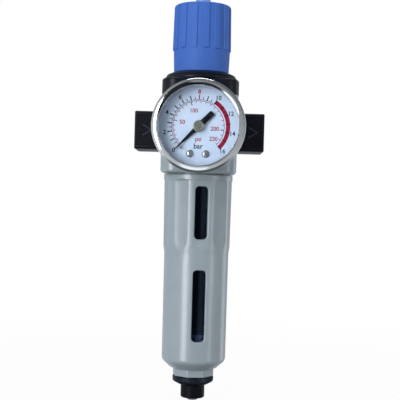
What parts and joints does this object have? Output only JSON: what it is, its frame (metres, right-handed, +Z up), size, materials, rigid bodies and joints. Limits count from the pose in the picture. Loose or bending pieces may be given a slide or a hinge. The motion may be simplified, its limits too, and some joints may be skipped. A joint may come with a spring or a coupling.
{
  "type": "air filter-regulator with gauge",
  "caption": "Compressed-air filter-regulator: ribbed lock knob on a square ported body, front pressure gauge, fluted metal bowl guard with sight windows and a knurled drain.",
  "frame": {"origin": "where the axis through both ports crosses the upright axis of the bowl, in the middle of the body", "axes": "+X is the flow direction, from the inlet to the outlet; -Y is the front with the gauge; +Z is up, towards the knob"},
  "size_m": [0.068, 0.0788, 0.2164],
  "materials": {
    "cast_grey": "satin, pale blue-grey paint on a die casting",
    "knob_blue": "satin, moulded mid blue",
    "button_blue": "satin, lighter blue",
    "black_plastic": "satin, moulded black",
    "plate_black": "matt, black coated die casting",
    "spring_steel": "drawn wire",
    "zinc_steel": "zinc plated",
    "nickel_steel": "nickel plated",
    "brass": "turned",
    "collar_black": "knurled brass, blackened",
    "bronze_tube": "drawn",
    "rubber": "matt",
    "inner_plastic": "moulded dark grey",
    "filter_bronze": "sintered bronze, porous",
    "bowl_clear": "clear, faintly smoked",
    "screen_grey": "moulded blue-grey",
    "tip_grey": "moulded grey",
    "case_black": "gloss, black enamel on pressed steel",
    "bezel_chrome": "bright plated",
    "lens_clear": "clear, polished",
    "dial_white": "matt, printed",
    "pointer_black": "satin black",
    "hub_nickel": "turned, dull nickel"
  },
  "bodies": {
    "housing": {"body_casting": "cast_grey", "bonnet": "black_plastic", "panel_nut": "black_plastic", "bonnet_screws": "zinc_steel", "diaphragm": "rubber", "main_spring": "spring_steel", "valve_seat": "brass", "valve_spring": "spring_steel", "valve_cage": "inner_plastic", "tie_rod": "brass", "vane_ring": "inner_plastic", "filter_element": "filter_bronze", "baffle": "inner_plastic", "inlet_plate": "plate_black", "outlet_plate": "plate_black", "plate_screws": "zinc_steel", "port_seals": "rubber", "rear_plug": "zinc_steel", "rear_plug_seal": "rubber", "gauge_seal": "rubber", "gauge_socket": "brass", "gauge_case": "case_black", "case_screws": "zinc_steel", "gauge_bezel": "bezel_chrome", "gauge_lens": "lens_clear", "lens_gasket": "rubber", "gauge_dial": "dial_white", "dial_posts": "brass", "dial_screws": "nickel_steel", "stop_pin": "zinc_steel", "movement_back_plate": "brass", "movement_front_plate": "brass", "movement_pillars": "brass", "bourdon_tube": "bronze_tube", "hairspring": "spring_steel"},
    "spindle": {"spindle": "zinc_steel", "spindle_clip": "spring_steel"},
    "knob": {"adjusting_knob": "knob_blue"},
    "lock_button": {"lock_button": "button_blue"},
    "spring_nut": {"spring_nut": "brass"},
    "diaphragm_centre": {"diaphragm_plate": "zinc_steel", "relief_seat": "brass"},
    "valve": {"valve_poppet": "brass", "valve_disc": "rubber"},
    "bowl": {"bowl": "bowl_clear", "bowl_o_ring": "rubber", "sump_screen": "screen_grey", "drain_clip": "spring_steel"},
    "guard": {"bowl_guard": "cast_grey"},
    "drain_collar": {"drain_collar": "collar_black"},
    "drain_stem": {"drain_stem": "black_plastic", "drain_seal": "rubber", "drain_o_ring": "rubber", "drain_tip": "tip_grey"},
    "sector": {"sector_gear": "brass"},
    "pointer": {"pinion_arbor": "brass", "pointer": "pointer_black", "pointer_hub": "hub_nickel"},
    "link": {"link": "brass"},
    "tube_tip": {"tube_tip": "brass"}
  },
  "joints": [
    {"name": "spindle_turn", "type": "hinge", "parent": "housing", "child": "spindle", "pos_m": [0, 0, 0], "axis": [0, 0, 1], "range_deg": [-1800, 0]},
    {"name": "knob_pull", "type": "slide", "parent": "spindle", "child": "knob", "axis": [0, 0, 1], "range_m": [0, 0.004]},
    {"name": "lock_press", "type": "slide", "parent": "knob", "child": "lock_button", "axis": [0, 0, 1], "range_m": [-0.003, 0]},
    {"name": "nut_travel", "type": "slide", "parent": "housing", "child": "spring_nut", "axis": [0, 0, 1], "range_m": [-0.0075, 0], "deforming": ["main_spring"]},
    {"name": "diaphragm_lift", "type": "slide", "parent": "housing", "child": "diaphragm_centre", "axis": [0, 0, 1], "range_m": [-0.0012, 0], "stiffness_N_per_m": 400, "springref_m": 0.001, "deforming": ["diaphragm"]},
    {"name": "valve_lift", "type": "slide", "parent": "housing", "child": "valve", "axis": [0, 0, 1], "range_m": [-0.0012, 0], "deforming": ["valve_spring"]},
    {"name": "bowl_drop", "type": "slide", "parent": "housing", "child": "bowl", "axis": [0, 0, 1], "range_m": [-0.0045, 0]},
    {"name": "guard_turn", "type": "hinge", "parent": "bowl", "child": "guard", "pos_m": [0, 0, 0], "axis": [0, 0, 1], "range_deg": [-1080, 0]},
    {"name": "drain_collar_turn", "type": "hinge", "parent": "bowl", "child": "drain_collar", "pos_m": [0, 0, 0], "axis": [0, 0, 1], "range_deg": [0, 360]},
    {"name": "drain_stem_drop", "type": "slide", "parent": "bowl", "child": "drain_stem", "axis": [0, 0, 1], "range_m": [-0.0015, 0]},
    {"name": "sector_turn", "type": "hinge", "parent": "housing", "child": "sector", "pos_m": [0, -0.036, -0.0108], "axis": [0, -1, 0], "range_deg": [0, 38.57], "stiffness_Nm_per_rad": 0.002, "springref_deg": -8.59},
    {"name": "pointer_turn", "type": "hinge", "parent": "housing", "child": "pointer", "pos_m": [0, -0.036, 0], "axis": [0, 1, 0], "range_deg": [0, 270], "deforming": ["hairspring"]},
    {"name": "link_turn", "type": "hinge", "parent": "sector", "child": "link", "pos_m": [0.00164, -0.036, -0.01552], "axis": [0, -1, 0], "range_deg": [-38.57, 0]},
    {"name": "tip_shift", "type": "slide", "parent": "housing", "child": "tube_tip", "axis": [0.7929, 0, 0.6094], "range_m": [0, 0.00331], "deforming": ["bourdon_tube"]}
  ],
  "couplings": [
    {"joint": "nut_travel", "follows": "spindle_turn", "m_per_rad": 0.00023873},
    {"joint": "valve_lift", "follows": "diaphragm_lift", "ratio": 1},
    {"joint": "bowl_drop", "follows": "guard_turn", "m_per_rad": 0.00023873},
    {"joint": "drain_stem_drop", "follows": "drain_collar_turn", "m_per_rad": -0.00023873},
    {"joint": "pointer_turn", "follows": "sector_turn", "ratio": 7},
    {"joint": "link_turn", "follows": "sector_turn", "ratio": -1},
    {"joint": "tip_shift", "follows": "sector_turn", "m_per_rad": 0.0049061}
  ]
}
